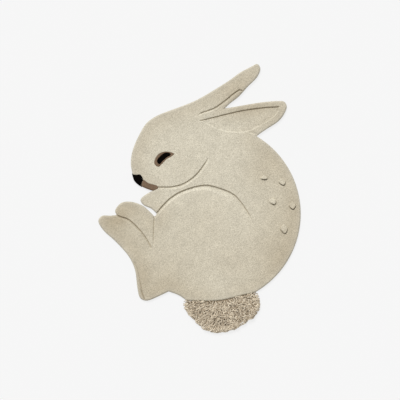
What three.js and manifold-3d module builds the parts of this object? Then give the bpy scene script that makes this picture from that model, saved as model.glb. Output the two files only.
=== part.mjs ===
// A tufted wool rug in the shape of a curled rabbit, lying flat on its underside.
// Millimetres. X runs across the rabbit, from its toes to its back, Y runs from its tail to the tip of
// its far ear, and Z up out of the pile. The origin is under the middle of the rug's box.

import * as THREE from "three";
import { mergeVertices } from "three/addons/utils/BufferGeometryUtils.js";
import Module from "manifold-3d";

const wasm = await Module();
wasm.setup();

// Driving dimensions
const PILE_TOP = 15; // backing cloth and cut pile together
const BACKING = 3; // backing cloth and its glue, under every yarn
const YARN_GAP = 0.3; // between two yarns that meet
const CHORD_ERROR = 0.45; // how far a straight edge may lie from its curve
const CUT_CLEARANCE = 2; // how far a carving tool starts above the pile
const FINEST = 0.02; // corners and steps smaller than this are smoothed out of a finished piece

const BACK_ARC = { x: 48, y: -67, radius: 402, from: 59.4, to: -61.3 }; // degrees from +X

// How far the side of the pile lies inside its outline at each height
const RUG_SIDE = [
  { inset: 1.6, z: 0 },
  { inset: 0.4, z: BACKING },
  { inset: 0, z: 9.5 },
  { inset: 1.8, z: 13.2 },
  { inset: 5.5, z: PILE_TOP },
];

// The outline runs clockwise from the nose. Each table is one smooth edge between two sharp corners.
const HEAD_AND_FAR_EAR = [
  { at: "top of the nose", x: -296, y: 104 },
  { at: "bridge of the nose", x: -305, y: 153 },
  { at: "in front of the eye", x: -298, y: 212 },
  { at: "forehead", x: -264, y: 292 },
  { at: "brow", x: -234, y: 338 },
  { at: "crown", x: -188, y: 370 },
  { at: "back of the crown", x: -100, y: 404 },
  { at: "root of the far ear", x: -20, y: 436 },
  { at: "first third of the ear", x: 60, y: 481 },
  { at: "second third of the ear", x: 136, y: 529 },
  { at: "end of the ear", x: 180, y: 561 },
  { at: "shoulder of the tip", x: 234, y: 590 },
  { at: "tip", x: 257, y: 600 },
  { at: "round of the tip", x: 270, y: 582 },
  { at: "under the tip", x: 258, y: 546 },
  { at: "middle of the lower edge", x: 213, y: 499 },
  { at: "lower edge", x: 172, y: 454 },
  { at: "above the notch", x: 137, y: 427 },
  { at: "notch between the ears", x: 109, y: 401 },
];
const NEAR_EAR = [
  { at: "notch between the ears", x: 109, y: 401 },
  { at: "upper edge", x: 180, y: 413 },
  { at: "middle of the upper edge", x: 262, y: 427 },
  { at: "end of the upper edge", x: 350, y: 435 },
  { at: "shoulder of the tip", x: 377, y: 432 },
  { at: "tip", x: 388, y: 413 },
  { at: "under the tip", x: 378, y: 381 },
  { at: "middle of the lower edge", x: 352, y: 347 },
  { at: "lower edge", x: 303, y: 314 },
  { at: "notch behind the ear", x: 253, y: 281 },
];
const OVER_THE_TAIL = [
  { at: "right root of the tail", x: 241, y: -419 },
  { at: "right of the tail", x: 192, y: -429 },
  { at: "over the tail", x: 120, y: -447 },
  { at: "middle of the tail", x: 60, y: -455 },
  { at: "left root of the tail", x: -57, y: -453 },
];
const UNDER_THE_BELLY = [
  { at: "left root of the tail", x: -57, y: -453 },
  { at: "rising", x: -92, y: -429 },
  { at: "notch before the heel", x: -138, y: -412 },
];
const HEEL_AND_SOLE = [
  { at: "notch before the heel", x: -138, y: -412 },
  { at: "behind the heel", x: -188, y: -436 },
  { at: "heel", x: -236, y: -453 },
  { at: "front of the heel", x: -263, y: -442 },
  { at: "above the heel", x: -277, y: -388 },
  { at: "shin", x: -286, y: -320 },
  { at: "ankle", x: -312, y: -260 },
  { at: "sole", x: -376, y: -187 },
  { at: "ball of the foot", x: -428, y: -139 },
  { at: "toes", x: -450, y: -98 },
  { at: "top of the toes", x: -434, y: -77 },
  { at: "over the toes", x: -398, y: -76 },
  { at: "notch between the feet", x: -368, y: -73 },
];
const FAR_FOOT = [
  { at: "notch between the feet", x: -368, y: -73 },
  { at: "toes", x: -375, y: -53 },
  { at: "top of the toes", x: -348, y: -19 },
  { at: "over the foot", x: -305, y: -14 },
  { at: "instep", x: -252, y: -33 },
  { at: "above the gap", x: -216, y: -64 },
  { at: "end of the gap", x: -199, y: -79 },
  { at: "notch under the paw", x: -190, y: -66 },
];
const PAW = [
  { at: "notch under the paw", x: -190, y: -66 },
  { at: "wrist", x: -213, y: -44 },
  { at: "under the paw", x: -248, y: -27 },
  { at: "end of the paw", x: -262, y: -5 },
  { at: "top of the paw", x: -238, y: 19 },
  { at: "notch under the chin", x: -207, y: 36 },
];
const MUZZLE_EDGE = [
  { at: "notch under the chin", x: -207, y: 36 },
  { at: "chin", x: -236, y: 46 },
  { at: "mouth", x: -266, y: 61 },
  { at: "front of the nose", x: -288, y: 81 },
  { at: "top of the nose", x: -296, y: 104 },
];

// Carved lines. The left side of each line is its steep wall and the right side its long slope.
// left and right are the widths of the two sides at the pile's top, and deep is how far the line is cut.
// A line that fades out ends above the pile.
const FADED = -0.6;
const LINE_FLOOR = { left: 0.3, right: 0.25 }; // the narrow floor of a line, as a share of each side's width
const CARVED_LINES = {
  farEarFold: [
    { x: -11, y: 370, left: 2, right: 4, deep: FADED },
    { x: 8, y: 382, left: 3, right: 7, deep: 5 },
    { x: 67, y: 404, left: 3, right: 8, deep: 6 },
    { x: 118, y: 440, left: 3, right: 9, deep: 6 },
    { x: 155, y: 470, left: 3, right: 9, deep: 6 },
    { x: 177, y: 484, left: 3, right: 7, deep: 6 },
    { x: 190, y: 482, left: 3, right: 5, deep: 5 },
    { x: 199, y: 472, left: 3, right: 4, deep: 4.5 },
  ],
  nearEarInside: [
    { x: -4, y: 346, left: 2, right: 2, deep: FADED },
    { x: 10, y: 349, left: 3, right: 5, deep: 5 },
    { x: 67, y: 363, left: 3, right: 6, deep: 6 },
    { x: 119, y: 376, left: 3, right: 7, deep: 6.5 },
    { x: 189, y: 392, left: 3, right: 8, deep: 7 },
    { x: 242, y: 400, left: 3, right: 8, deep: 7 },
    { x: 294, y: 406, left: 3, right: 8, deep: 7 },
    { x: 350, y: 409, left: 3, right: 7, deep: 6.5 },
    { x: 361, y: 409, left: 2, right: 3, deep: FADED },
  ],
  nearEarRoot: [
    { x: 205, y: 298, left: 6, right: 3, deep: FADED },
    { x: 224, y: 296, left: 10, right: 4, deep: 2.2 },
    { x: 250, y: 287, left: 10, right: 4, deep: 2.6 },
    { x: 270, y: 274, left: 9, right: 4, deep: 3 },
  ],
  cheek: [
    { x: -222, y: 50, left: 3, right: 6, deep: 5 },
    { x: -185, y: 52, left: 3, right: 8, deep: 6 },
    { x: -123, y: 53, left: 3, right: 10, deep: 7 },
    { x: -69, y: 68, left: 3, right: 11, deep: 7 },
    { x: -16, y: 106, left: 3, right: 11, deep: 7 },
    { x: 20, y: 151, left: 3, right: 10, deep: 6 },
    { x: 35, y: 174, left: 3, right: 8, deep: 3.5 },
    { x: 42, y: 186, left: 2, right: 4, deep: FADED },
  ],
  haunch: [
    { x: -205, y: -84, left: 3, right: 9, deep: 6 },
    { x: -176, y: -45, left: 3, right: 11, deep: 7 },
    { x: -123, y: 8, left: 3, right: 13, deep: 8 },
    { x: -65, y: 39, left: 3, right: 14, deep: 8 },
    { x: 25, y: 60, left: 3, right: 19, deep: 8 },
    { x: 91, y: 46, left: 3, right: 24, deep: 8 },
    { x: 154, y: 17, left: 3, right: 26, deep: 7.5 },
    { x: 206, y: -46, left: 3, right: 26, deep: 6 },
    { x: 232, y: -92, left: 3, right: 20, deep: 3 },
    { x: 246, y: -122, left: 2, right: 8, deep: FADED },
  ],
  nearFoot: [
    { x: -384, y: -64, left: 3, right: 7, deep: 6 },
    { x: -354, y: -79, left: 3, right: 8, deep: 7 },
    { x: -319, y: -91, left: 3, right: 9, deep: 7 },
    { x: -278, y: -126, left: 3, right: 9, deep: 7 },
    { x: -240, y: -173, left: 3, right: 9, deep: 6 },
    { x: -217, y: -214, left: 3, right: 6, deep: 5 },
    { x: -210, y: -228, left: 2, right: 3, deep: FADED },
  ],
  farFoot: [
    { x: -200, y: -72, left: 4, right: 3, deep: 4 },
    { x: -204, y: -121, left: 5, right: 3, deep: 4 },
    { x: -205, y: -180, left: 5, right: 3, deep: 4 },
    { x: -208, y: -228, left: 3, right: 2, deep: FADED },
  ],
  farLeg: [
    { x: -293, y: -280, left: 3, right: 3, deep: 3 },
    { x: -276, y: -315, left: 3, right: 4, deep: 3 },
    { x: -264, y: -366, left: 3, right: 4, deep: 3.5 },
    { x: -255, y: -420, left: 3, right: 5, deep: 5 },
    { x: -238, y: -462, left: 3, right: 5, deep: 5 },
  ],
};

// Patches of other yarn, each inside a closed smooth edge
const NOSE_END = [
  { at: "outside the bridge", x: -312, y: 110 },
  { at: "top", x: -285, y: 107 },
  { at: "back of the top", x: -264, y: 107 },
  { at: "back", x: -252, y: 88 },
  { at: "nostril", x: -257, y: 70 },
  { at: "outside the mouth", x: -264, y: 46 },
  { at: "outside the nose", x: -305, y: 66 },
];
const MUZZLE_STRIP = [
  { at: "top at the nose", x: -254, y: 85 },
  { at: "along the top", x: -228, y: 70 },
  { at: "top of the far end", x: -190, y: 58 },
  { at: "far end", x: -183, y: 50 },
  { at: "back at the chin", x: -196, y: 40 },
  { at: "outside the chin", x: -222, y: 34 },
  { at: "outside the mouth", x: -262, y: 46 },
];
const EYE_RIM = [
  { at: "back corner", x: -112, y: 199.5 },
  { at: "back of the upper edge", x: -130, y: 208 },
  { at: "upper edge", x: -155, y: 210 },
  { at: "front of the upper edge", x: -180, y: 201.5 },
  { at: "front", x: -198, y: 178 },
  { at: "lower front", x: -201, y: 155 },
  { at: "bottom", x: -184, y: 141.5 },
  { at: "lower edge", x: -166, y: 154.5 },
  { at: "middle of the lower edge", x: -148, y: 174 },
  { at: "back of the lower edge", x: -126, y: 187 },
];
const EYE_PUPIL = [
  { at: "back corner", x: -129, y: 198 },
  { at: "upper edge", x: -148, y: 204.5 },
  { at: "front of the upper edge", x: -171, y: 191 },
  { at: "front", x: -187.5, y: 168 },
  { at: "bottom", x: -179, y: 155.5 },
  { at: "lower edge", x: -166, y: 168 },
  { at: "middle of the lower edge", x: -150, y: 183 },
];
const PATCH_EDGE = 1.5; // the clipped edge of a patch

// The inside of the near ear is shorn lower than the rest, with a slope all round it.
const EAR_INSIDE = [
  { at: "root", x: 17, y: 341 },
  { at: "above the root", x: 21, y: 350 },
  { at: "under the fold", x: 67, y: 362 },
  { at: "middle of the fold", x: 189, y: 390 },
  { at: "far along the fold", x: 294, y: 404 },
  { at: "above the tip", x: 340, y: 408 },
  { at: "tip", x: 355, y: 398 },
  { at: "below the tip", x: 342, y: 375 },
  { at: "outer side", x: 315, y: 351 },
  { at: "lower outer side", x: 268, y: 323 },
  { at: "lower corner", x: 219, y: 300 },
  { at: "lower side", x: 155, y: 295 },
  { at: "back of the lower side", x: 85, y: 307 },
  { at: "cheek side", x: 50, y: 323 },
];
const EAR_DEPTH = 3.2;
const EAR_SLOPE = 4; // width of the slope

// Puffs on the back: tongues of pile, each level with the rug at its root and proud of it at its free edge.
// The free edge runs from the left end over the tip to the right end.
const BACK_PUFFS = [
  { leftX: 271, leftY: 91, tipX: 290, tipY: 87, rightX: 303, rightY: 91, rootX: 288, rootY: 108 },
  { leftX: 351, leftY: 77, tipX: 375, tipY: 61, rightX: 382, rightY: 75, rootX: 366, rootY: 93 },
  { leftX: 308, leftY: -9, tipX: 332, tipY: -25, rightX: 341, rightY: -14, rootX: 326, rootY: 4 },
  { leftX: 400, leftY: -29, tipX: 416, tipY: -46, rightX: 428, rightY: -29, rootX: 414, rootY: -10 },
  { leftX: 361, leftY: -133, tipX: 380, tipY: -154, rightX: 392, rightY: -131, rootX: 376, rootY: -109 },
];
const PUFF_SHOULDER = 0.7; // how far up each side from the free edge to the root the shoulder is
const PUFF_SWELL = 1.15; // how much wider than its ends it is there
const PUFF_SIDES = 20;
const PUFF_ROOT = 3; // how deep a puff is rooted in the pile
const PUFF_LEVEL = 0.6; // height above the cut pile at the root
const PUFF_PROUD = 7; // and at the tip
// The rounded top of a puff: how wide each ring is, as a share, and how much higher than its edge
const PUFF_CROWN = [
  { share: 1, rise: 0 },
  { share: 0.82, rise: 1.2 },
  { share: 0.4, rise: 1.8 },
];

// The tail: a lumpy slab of long loops, with locks that lie out on the floor round its rim
const TAIL_RIM = [
  { at: "left root", x: -58, y: -458 },
  { at: "left side", x: -57, y: -482 },
  { at: "lower left", x: -8, y: -541 },
  { at: "bottom left", x: 35, y: -577 },
  { at: "bottom", x: 78, y: -585.5 },
  { at: "bottom right", x: 152, y: -571 },
  { at: "lower right", x: 216, y: -531 },
  { at: "right side", x: 252, y: -499 },
  { at: "right", x: 257, y: -454 },
  { at: "right root", x: 243, y: -426 },
];
const TAIL_ROOT = 8; // how far the tail's outline runs under the rabbit's edge before it is cut to it
const TAIL_SIDE = [
  { inset: 3, z: 0 },
  { inset: 0, z: 5 },
  { inset: 1.5, z: 10 },
  { inset: 6, z: 14 },
];
// Domes of loops stand in staggered rows over the slab, the rise and turn of each a little different.
const LUMP_PITCH = 31;
const LUMP_WIDTH = 40;
const LUMP_SIDES = 6;
const LUMP_MARGIN = 9; // from a dome's middle to the rim
const LUMP_RINGS = [
  { share: 1, z: 11 },
  { share: 0.76, z: 18.5 },
  { share: 0.3, z: 22.5 },
];
const LUMP_FIRST_ROW = 0.35; // of a row's pitch below the top of the tail
const LUMP_TURN = 0.37; // of the angle between two of its corners, from one dome to the next
// A dome or a lock differs from the one before it by a wave of this size and pace.
const LUMP_SHIFT_X = { most: 3.5, pace: 1.7 };
const LUMP_SHIFT_Y = { most: 3.5, pace: 2.9 };
const LUMP_RISE = { most: 1.8, pace: 2.3 };
const LUMP_REACH = { most: 0.12, pace: 1.9 }; // as a share of its width
const LOCK_TURN = { most: 0.45, pace: 2.4 }; // radians
const LOCK_REACH = { most: 3.5, pace: 1.7 };
const LOCK_SIZE = { most: 0.14, pace: 3.1 }; // as a share of its section
const TAIL_LOCKS = 40;
// A lock from its root to its tip: how far out it has come, as a share of its length, and its section
const LOCK_LENGTH = 11.5;
const LOCK_MEAN = 0.9; // the mean size of a lock's section, as a share of the table
const LOCK_SECTIONS = [
  { out: -0.6, wide: 16, high: 14 },
  { out: 0.25, wide: 15, high: 12 },
  { out: 0.75, wide: 11, high: 8 },
  { out: 1, wide: 4.5, high: 4 },
];

const WOOL = { color: 0xd0c6b0, roughness: 0.95, metalness: 0 };
const LOOPS = { color: 0xc2b095, roughness: 0.95, metalness: 0 };
const BLACK_YARN = { color: 0x17130f, roughness: 0.9, metalness: 0 };
const BROWN_YARN = { color: 0x84705a, roughness: 0.95, metalness: 0 };

// A smooth edge through a table's rows, divided until every chord lies close to it.
function smoothEdge(rows, closed = false) {
  const corners = rows.map((row) => new THREE.Vector3(row.x, row.y, 0));
  const curve = new THREE.CatmullRomCurve3(corners, closed, "centripetal");
  const spans = closed ? rows.length : rows.length - 1;
  const points = [];
  const divide = (from, to) => {
    const [start, middle, end] = [from, (from + to) / 2, to].map((t) => curve.getPoint(t));
    const chord = new THREE.Line3(start, end);
    const foot = chord.closestPointToPoint(middle, true, new THREE.Vector3());
    if (foot.distanceTo(middle) > CHORD_ERROR) {
      divide(from, (from + to) / 2);
      divide((from + to) / 2, to);
    } else {
      points.push(new THREE.Vector2(start.x, start.y));
    }
  };
  for (let span = 0; span < spans; span += 1) {
    divide(span / spans, (span + 0.5) / spans);
    divide((span + 0.5) / spans, (span + 1) / spans);
  }
  return points;
}

// The points of an arc, from its first angle up to but not at its last.
function arcEdge(arc) {
  const steps = 48;
  return Array.from({ length: steps }, (_, step) => {
    const angle = THREE.MathUtils.degToRad(arc.from + ((arc.to - arc.from) * step) / steps);
    return new THREE.Vector2(arc.x + arc.radius * Math.cos(angle), arc.y + arc.radius * Math.sin(angle));
  });
}

function wave({ most, pace }, number) {
  return most * Math.sin(number * pace);
}

function counterClockwise(points) {
  return THREE.ShapeUtils.isClockWise(points) ? points.slice().reverse() : points;
}

// The closed outline moved inwards by a distance, or outwards if it is negative.
function inset(outline, distance) {
  const sharpest = 2; // a corner moves at most this many times the distance
  return outline.map((point, i) => {
    const before = outline.at(i - 1);
    const after = outline[(i + 1) % outline.length];
    const first = new THREE.Vector2(before.y - point.y, point.x - before.x).normalize();
    const second = new THREE.Vector2(point.y - after.y, after.x - point.x).normalize();
    const inward = first.clone().add(second).normalize();
    const stretch = Math.min(sharpest, 1 / Math.max(inward.dot(first), 1e-3));
    return point.clone().addScaledVector(inward, distance * stretch);
  });
}

// The triangles round the side of a solid, between each ring of corners and the next.
function sideTriangles(rings, count) {
  const index = [];
  for (let ring = 0; ring + 1 < rings; ring += 1) {
    for (let i = 0; i < count; i += 1) {
      const next = (i + 1) % count;
      const [low, high] = [ring * count, (ring + 1) * count];
      index.push(low + i, low + next, high + next, low + i, high + next, high + i);
    }
  }
  return index;
}

// A closed slab: one ring of the outline for each row of its side, and a flat cap at each end.
function slab(outline, side) {
  const count = outline.length;
  const rings = side.map((row) => inset(outline, row.inset));
  const positions = rings.flatMap((ring, r) => ring.flatMap((p) => [p.x, p.y, side[r].z]));
  const index = sideTriangles(rings.length, count);
  const top = (rings.length - 1) * count;
  for (const [a, b, c] of THREE.ShapeUtils.triangulateShape(rings[0], [])) index.push(c, b, a);
  for (const [a, b, c] of THREE.ShapeUtils.triangulateShape(rings.at(-1), [])) {
    index.push(top + a, top + b, top + c);
  }
  return closedSolid(positions, index);
}

// A closed tube of sections with the same number of corners, flat at both ends.
function tube(sections) {
  const count = sections[0].length;
  const positions = sections.flatMap((section) => section.flatMap((p) => [p.x, p.y, p.z]));
  const index = sideTriangles(sections.length, count);
  const last = (sections.length - 1) * count;
  for (let i = 1; i + 1 < count; i += 1) {
    index.push(0, i + 1, i);
    index.push(last, last + i, last + i + 1);
  }
  return closedSolid(positions, index);
}

function closedSolid(positions, index) {
  const geometry = new THREE.BufferGeometry();
  geometry.setAttribute("position", new THREE.Float32BufferAttribute(positions, 3));
  geometry.setIndex(index);
  return solidOf(geometry);
}

function solidOf(geometry) {
  geometry.deleteAttribute("normal");
  geometry.deleteAttribute("uv");
  const merged = mergeVertices(geometry, 1e-4);
  return new wasm.Manifold(
    new wasm.Mesh({
      numProp: 3,
      vertProperties: merged.getAttribute("position").array,
      triVerts: new Uint32Array(merged.index.array),
    }),
  );
}

function meshOf(solid, name, finish) {
  const made = solid.simplify(FINEST).getMesh();
  const geometry = new THREE.BufferGeometry();
  geometry.setAttribute("position", new THREE.BufferAttribute(made.vertProperties, 3));
  geometry.setIndex(new THREE.BufferAttribute(made.triVerts, 1));
  geometry.computeVertexNormals();
  const mesh = new THREE.Mesh(geometry, new THREE.MeshStandardMaterial(finish));
  mesh.name = name;
  return mesh;
}

// The tool that carves one line: a trough with a steep left wall, a narrow floor and a long right slope.
function carvedLine(rows) {
  const stepsPerRow = 4;
  const curve = new THREE.CatmullRomCurve3(
    rows.map((row) => new THREE.Vector3(row.x, row.y, 0)),
    false,
    "centripetal",
  );
  const steps = (rows.length - 1) * stepsPerRow;
  const sections = [];
  for (let step = 0; step <= steps; step += 1) {
    const place = curve.getPoint(step / steps);
    const along = curve.getTangent(step / steps);
    const leftward = new THREE.Vector3(-along.y, along.x, 0);
    const row = Math.min(Math.floor(step / stepsPerRow), rows.length - 2);
    const share = step / stepsPerRow - row;
    const size = (column) => THREE.MathUtils.lerp(rows[row][column], rows[row + 1][column], share);
    const [left, right, deep] = [size("left"), size("right"), size("deep")];
    const corner = (side, z) => place.clone().addScaledVector(leftward, side).setZ(z);
    const high = PILE_TOP + CUT_CLEARANCE;
    const grow = 1 + CUT_CLEARANCE / Math.max(deep, CUT_CLEARANCE);
    sections.push([
      corner(-right * grow, high),
      corner(-right * LINE_FLOOR.right, PILE_TOP - deep),
      corner(left * LINE_FLOOR.left, PILE_TOP - deep),
      corner(left * grow, high),
    ]);
  }
  return tube(sections);
}

// A patch of yarn or its pocket: a prism on the backing, grown by a margin.
function patchPrism(rows, margin, floor) {
  const outline = inset(counterClockwise(smoothEdge(rows, true)), -margin);
  return slab(outline, [
    { inset: 0, z: floor },
    { inset: 0, z: PILE_TOP + CUT_CLEARANCE },
  ]);
}

// The cut that lowers the inside of the near ear.
function earInside() {
  const outline = counterClockwise(smoothEdge(EAR_INSIDE, true));
  return slab(outline, [
    { inset: EAR_SLOPE, z: PILE_TOP - EAR_DEPTH },
    { inset: 0, z: PILE_TOP },
    { inset: 0, z: PILE_TOP + CUT_CLEARANCE },
  ]);
}

function rugOutline() {
  return counterClockwise([
    ...smoothEdge(HEAD_AND_FAR_EAR),
    ...smoothEdge(NEAR_EAR),
    ...arcEdge(BACK_ARC),
    ...smoothEdge(OVER_THE_TAIL),
    ...smoothEdge(UNDER_THE_BELLY),
    ...smoothEdge(HEEL_AND_SOLE),
    ...smoothEdge(FAR_FOOT),
    ...smoothEdge(PAW),
    ...smoothEdge(MUZZLE_EDGE),
  ]);
}

// A patch whose outer side is the rug's own rounded rim.
function edgePatch(rug, rows, without = []) {
  let patch = rug.intersect(patchPrism(rows, 0, BACKING + YARN_GAP));
  for (const other of without) patch = patch.subtract(patchPrism(other, YARN_GAP, 0));
  return patch;
}

// A patch inside the pile, its upper edge clipped a little.
function innerPatch(rows, without = []) {
  const outline = counterClockwise(smoothEdge(rows, true));
  let patch = slab(outline, [
    { inset: 0, z: BACKING + YARN_GAP },
    { inset: 0, z: PILE_TOP - PATCH_EDGE },
    { inset: PATCH_EDGE, z: PILE_TOP },
  ]);
  for (const other of without) patch = patch.subtract(patchPrism(other, YARN_GAP, 0));
  return patch;
}

// A puff: upright round its edge, with a top that rises from its root to its tip.
function puff(row, margin = 0) {
  const [left, tip, right, root] = ["left", "tip", "right", "root"].map(
    (name) => new THREE.Vector3(row[`${name}X`], row[`${name}Y`], 0),
  );
  const middle = left.clone().add(tip).add(right).add(root).divideScalar(4);
  const shoulder = (end) => {
    const fromMiddle = end.clone().lerp(root, PUFF_SHOULDER).sub(middle);
    return fromMiddle.multiplyScalar(PUFF_SWELL).add(middle);
  };
  const corners = [left, tip, right, shoulder(right), root, shoulder(left)];
  const edge = new THREE.CatmullRomCurve3(corners, true, "centripetal");
  const down = tip.clone().sub(root);
  const ring = (share, height) =>
    Array.from({ length: PUFF_SIDES }, (_, side) => {
      const out = edge.getPoint(side / PUFF_SIDES).sub(middle);
      const place = out.clone().multiplyScalar(share).addScaledVector(out.normalize(), margin).add(middle);
      const along = THREE.MathUtils.clamp(place.clone().sub(root).dot(down) / down.lengthSq(), 0, 1);
      return place.setZ(PILE_TOP + height(along));
    });
  return tube([
    ring(1, () => -PUFF_ROOT - margin),
    ...PUFF_CROWN.map(({ share, rise }) =>
      ring(share, (along) => THREE.MathUtils.lerp(PUFF_LEVEL, PUFF_PROUD, along) + rise),
    ),
  ]);
}

function isInside(outline, x, y) {
  let inside = false;
  outline.forEach((point, i) => {
    const before = outline.at(i - 1);
    const crosses = point.y > y !== before.y > y;
    const edgeX = point.x + ((before.x - point.x) * (y - point.y)) / (before.y - point.y);
    if (crosses && x < edgeX) inside = !inside;
  });
  return inside;
}

// One dome of loops on the tail.
function tailLump(x, y, number) {
  const rise = wave(LUMP_RISE, number);
  const reach = ((1 + wave(LUMP_REACH, number)) * LUMP_WIDTH) / 2;
  const sections = LUMP_RINGS.map((ring) =>
    Array.from({ length: LUMP_SIDES }, (_, side) => {
      const angle = ((side + number * LUMP_TURN) / LUMP_SIDES) * 2 * Math.PI;
      const [along, across] = [Math.cos(angle), Math.sin(angle)].map((share) => share * reach * ring.share);
      return new THREE.Vector3(x + along, y + across, ring.z + rise);
    }),
  );
  return tube(sections);
}

function tailLumps(rim) {
  const middles = inset(rim, LUMP_MARGIN);
  const box = new THREE.Box2().setFromPoints(middles);
  const rowPitch = LUMP_PITCH * Math.sin(Math.PI / 3);
  const lumps = [];
  for (let row = 0; row * rowPitch <= box.max.y - box.min.y; row += 1) {
    const y = box.max.y - (row + LUMP_FIRST_ROW) * rowPitch;
    const start = box.min.x + ((row % 2) * LUMP_PITCH) / 2;
    for (let x = start; x <= box.max.x; x += LUMP_PITCH) {
      const number = lumps.length;
      const [lumpX, lumpY] = [x + wave(LUMP_SHIFT_X, number), y + wave(LUMP_SHIFT_Y, number)];
      if (isInside(middles, lumpX, lumpY)) lumps.push(tailLump(lumpX, lumpY, number));
    }
  }
  return lumps;
}

// A lock of looped yarn that lies on the floor, flat below and ridged above, tapering to its tip.
function tailLock(root, direction, length, size) {
  const sideways = new THREE.Vector3(-direction.y, direction.x, 0);
  const sections = LOCK_SECTIONS.map((part) => {
    const place = root.clone().addScaledVector(direction, part.out * length);
    const half = (part.wide * size) / 2;
    return [
      place.clone().addScaledVector(sideways, -half),
      place.clone().addScaledVector(sideways, half),
      place.clone().setZ(part.high * size),
    ];
  });
  return tube(sections);
}

// The tail's locks stand at even places along its rim, each turned and sized a little differently.
function tailLocks() {
  const rim = new THREE.CatmullRomCurve3(
    TAIL_RIM.map((row) => new THREE.Vector3(row.x, row.y, 0)),
    false,
    "centripetal",
  );
  return Array.from({ length: TAIL_LOCKS }, (_, lock) => {
    const share = (lock + 0.5) / TAIL_LOCKS;
    const along = rim.getTangentAt(share);
    const upright = new THREE.Vector3(0, 0, 1);
    const outward = new THREE.Vector3(along.y, -along.x, 0).applyAxisAngle(upright, wave(LOCK_TURN, lock));
    const length = LOCK_LENGTH + wave(LOCK_REACH, lock);
    return tailLock(rim.getPointAt(share), outward, length, LOCK_MEAN + wave(LOCK_SIZE, lock));
  });
}

function rabbitPile(rug) {
  const tools = [
    ...Object.values(CARVED_LINES).map(carvedLine),
    earInside(),
    ...BACK_PUFFS.map((row) => puff(row, YARN_GAP)),
    ...[NOSE_END, MUZZLE_STRIP, EYE_RIM].map((rows) => patchPrism(rows, YARN_GAP, BACKING)),
  ];
  return rug.subtract(wasm.Manifold.union(tools));
}

function tailPile() {
  const rootEdge = smoothEdge(OVER_THE_TAIL).map((p) => new THREE.Vector2(p.x, p.y + TAIL_ROOT));
  const rim = counterClockwise([...smoothEdge(TAIL_RIM), ...rootEdge]);
  const whole = wasm.Manifold.union([slab(rim, TAIL_SIDE), ...tailLumps(rim), ...tailLocks()]);
  const besideRabbit = slab(inset(rugOutline(), -YARN_GAP), [
    { inset: 0, z: -CUT_CLEARANCE },
    { inset: 0, z: 2 * PILE_TOP },
  ]);
  return whole.subtract(besideRabbit);
}

const rug = slab(rugOutline(), RUG_SIDE);
const group = new THREE.Group();
group.add(
  meshOf(rabbitPile(rug), "rabbit_pile", WOOL),
  meshOf(tailPile(), "tail_pile", LOOPS),
  meshOf(edgePatch(rug, NOSE_END), "nose_pile", BLACK_YARN),
  meshOf(edgePatch(rug, MUZZLE_STRIP, [NOSE_END]), "muzzle_pile", BROWN_YARN),
  meshOf(innerPatch(EYE_RIM, [EYE_PUPIL]), "eye_rim_pile", BROWN_YARN),
  meshOf(innerPatch(EYE_PUPIL), "eye_pupil_pile", BLACK_YARN),
);
BACK_PUFFS.forEach((row, i) => group.add(meshOf(puff(row), `back_puff_${i + 1}`, WOOL)));

export default group;
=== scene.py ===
import math

import bmesh
import bpy
import numpy as np
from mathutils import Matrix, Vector
from mathutils.geometry import delaunay_2d_cdt


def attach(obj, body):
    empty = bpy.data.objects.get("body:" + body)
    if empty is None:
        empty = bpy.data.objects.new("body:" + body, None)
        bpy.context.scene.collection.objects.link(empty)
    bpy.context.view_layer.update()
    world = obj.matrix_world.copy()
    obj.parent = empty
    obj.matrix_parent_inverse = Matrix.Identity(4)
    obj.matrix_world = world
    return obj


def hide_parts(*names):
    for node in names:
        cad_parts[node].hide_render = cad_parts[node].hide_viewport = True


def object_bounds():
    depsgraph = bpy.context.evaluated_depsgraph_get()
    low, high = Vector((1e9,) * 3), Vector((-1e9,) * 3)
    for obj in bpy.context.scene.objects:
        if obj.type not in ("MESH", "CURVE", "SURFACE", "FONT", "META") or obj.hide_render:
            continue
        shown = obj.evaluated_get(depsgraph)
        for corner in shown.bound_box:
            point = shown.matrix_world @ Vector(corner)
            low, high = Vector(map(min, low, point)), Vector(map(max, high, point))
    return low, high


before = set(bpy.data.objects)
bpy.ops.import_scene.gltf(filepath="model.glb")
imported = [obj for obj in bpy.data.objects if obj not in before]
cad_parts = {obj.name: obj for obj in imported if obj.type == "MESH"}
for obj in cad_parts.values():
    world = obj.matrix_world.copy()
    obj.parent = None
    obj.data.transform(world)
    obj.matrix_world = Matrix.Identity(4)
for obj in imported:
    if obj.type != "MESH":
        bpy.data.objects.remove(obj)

packed_box = [list(corner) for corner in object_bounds()]

# The rabbit
# One slab of cut wool pile on a woven cotton backing. Cream and beige yarn is shot through the backing
# with a tufting gun, shorn level, and the lines of ears, cheek, haunch and feet are carved into it.
BACKING = 0.003  # thickness of the backing cloth with its glue
PILE_TOP = 0.015
PILE_UNEVEN = (-0.0005, 0.0004)  # how far a tuft's end stands from the shorn level
RIM_HEIGHT = 0.0095  # the rim is fullest here, and rounds over above it
RIM_TUCK = ((0.0013, BACKING), (0.0026, 0.0))  # how far the rim draws in below that, and at what height
RIM_LINE_STEP, RIM_LINE_KEPT = 0.0032, 0.97  # where the rim's line would fold over, its points go
RIM_LEVEL_FROM = 0.0019  # the rim takes its height from this far inside it
RIM_REACH = 0.0022  # a yarn's outline this near the rabbit's rim ends at the rim
RIM_CLEAR = 0.0021  # no fine tuft stands nearer the rim than this
POCKET_LINE_STEP, POCKET_PAST_RIM = 0.0022, 0.003
POCKET_CLEAR = 0.0009  # no tuft stands nearer the edge of a pocket than this
EYE_CLOSED = 0.0007  # the cream pile closes over the edge of the eye
TUFT_PITCH = 0.0036
TUFT_DRIFT = 0.16  # how far a tuft strays from its row, as a share of the pitch
CARVED_PITCH = 0.0014  # the tufts are drawn finer beside a carved line and along the rim
CARVED_SLOPE, CARVED_REACH = 0.12, 0.0012
LEVEL_GRID, GRID_MARGIN = 0.0005, 0.004
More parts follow.
